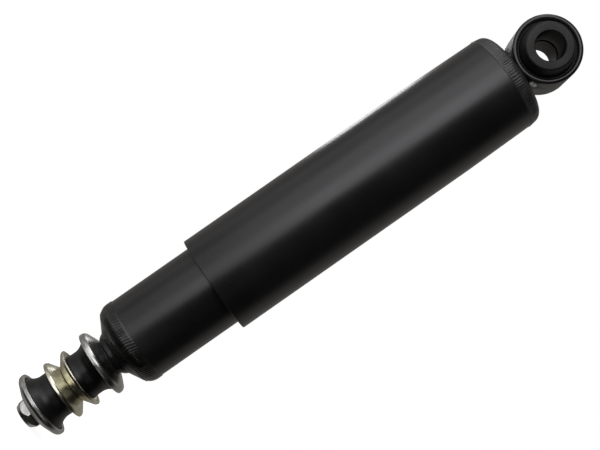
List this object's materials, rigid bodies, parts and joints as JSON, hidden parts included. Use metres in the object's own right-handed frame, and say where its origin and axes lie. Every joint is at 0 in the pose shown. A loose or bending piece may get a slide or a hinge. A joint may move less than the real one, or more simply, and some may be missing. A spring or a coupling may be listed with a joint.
{
  "type": "gas shock absorber",
  "caption": "Twin-tube telescopic damper with a rubber-bushed eye, a dust cover and a threaded stem that carries cup washers, rubber bushes and a nut.",
  "frame": {"origin": "centre of the stem's seat: the lower face of the collar, where the upper cup washer bears", "axes": "+Z along the rod from the stem to the eye, +Y along the bore of the eye"},
  "size_m": [0.0652, 0.0652, 0.4171],
  "materials": {
    "black_paint": "satin black paint",
    "bush_rubber": "matte",
    "seal_rubber": "matte",
    "chromed_rod": "polished",
    "steel": "ground",
    "stem_steel": "gloss black collar, zinc plated thread",
    "sintered_iron": "sintered",
    "bronze": "satin",
    "nylon": "satin",
    "silver_zinc": "zinc plated, bright",
    "yellow_zinc": "yellow passivated zinc"
  },
  "bodies": {
    "body": {"reserve_tube": "black_paint", "pressure_tube": "steel", "rod_guide": "sintered_iron", "guide_bush": "bronze", "guide_o_ring": "seal_rubber", "rod_seal": "seal_rubber", "seal_cap": "steel", "base_cap": "black_paint", "base_weld": "black_paint", "stem": "stem_steel", "stem_weld": "black_paint", "base_valve_body": "sintered_iron", "base_valve_bolt": "steel", "base_valve_nut": "steel", "base_check_spring": "steel", "compression_spring": "steel", "stem_washer_upper": "silver_zinc", "stem_washer_lower": "silver_zinc", "bracket_washer_upper": "yellow_zinc", "bracket_washer_lower": "yellow_zinc", "stem_bush_upper": "bush_rubber", "stem_bush_lower": "bush_rubber", "stem_nut": "silver_zinc"},
    "rod": {"eye_ring": "black_paint", "eye_bush_front": "bush_rubber", "eye_bush_rear": "bush_rubber", "eye_weld": "black_paint", "top_cap": "black_paint", "cover_weld": "black_paint", "dust_cover": "black_paint", "piston_rod": "chromed_rod", "rebound_stop": "steel", "rebound_bumper": "nylon", "check_stop_washer": "steel", "piston_check_spring": "steel", "piston": "sintered_iron", "rebound_spring": "steel", "piston_nut": "steel"},
    "piston_ring": {"piston_band": "nylon"},
    "piston_check": {"piston_check_plate": "steel"},
    "rebound_valve": {"rebound_disc": "steel"},
    "base_check": {"base_check_plate": "steel"},
    "compression_valve": {"compression_disc": "steel"}
  },
  "joints": [
    {"name": "rod_slide", "type": "slide", "parent": "body", "child": "piston_ring", "axis": [0, 0, 1], "range_m": [-0.012, 0.156]},
    {"name": "rod_swivel", "type": "hinge", "parent": "piston_ring", "child": "rod", "pos_m": [0, 0, 0.0745], "axis": [0, 0, 1], "continuous": true},
    {"name": "piston_check_lift", "type": "slide", "parent": "rod", "child": "piston_check", "axis": [0, 0, 1], "range_m": [0, 0.001], "stiffness_N_per_m": 400, "springref_m": -0.0005, "deforming": ["piston_check_spring"]},
    {"name": "rebound_lift", "type": "slide", "parent": "rod", "child": "rebound_valve", "axis": [0, 0, -1], "range_m": [0, 0.0008], "stiffness_N_per_m": 9000, "springref_m": -0.002, "deforming": ["rebound_spring"]},
    {"name": "base_check_lift", "type": "slide", "parent": "body", "child": "base_check", "axis": [0, 0, 1], "range_m": [0, 0.0012], "stiffness_N_per_m": 400, "springref_m": -0.0005, "deforming": ["base_check_spring"]},
    {"name": "compression_lift", "type": "slide", "parent": "body", "child": "compression_valve", "axis": [0, 0, -1], "range_m": [0, 0.0006], "stiffness_N_per_m": 12000, "springref_m": -0.002, "deforming": ["compression_spring"]}
  ]
}
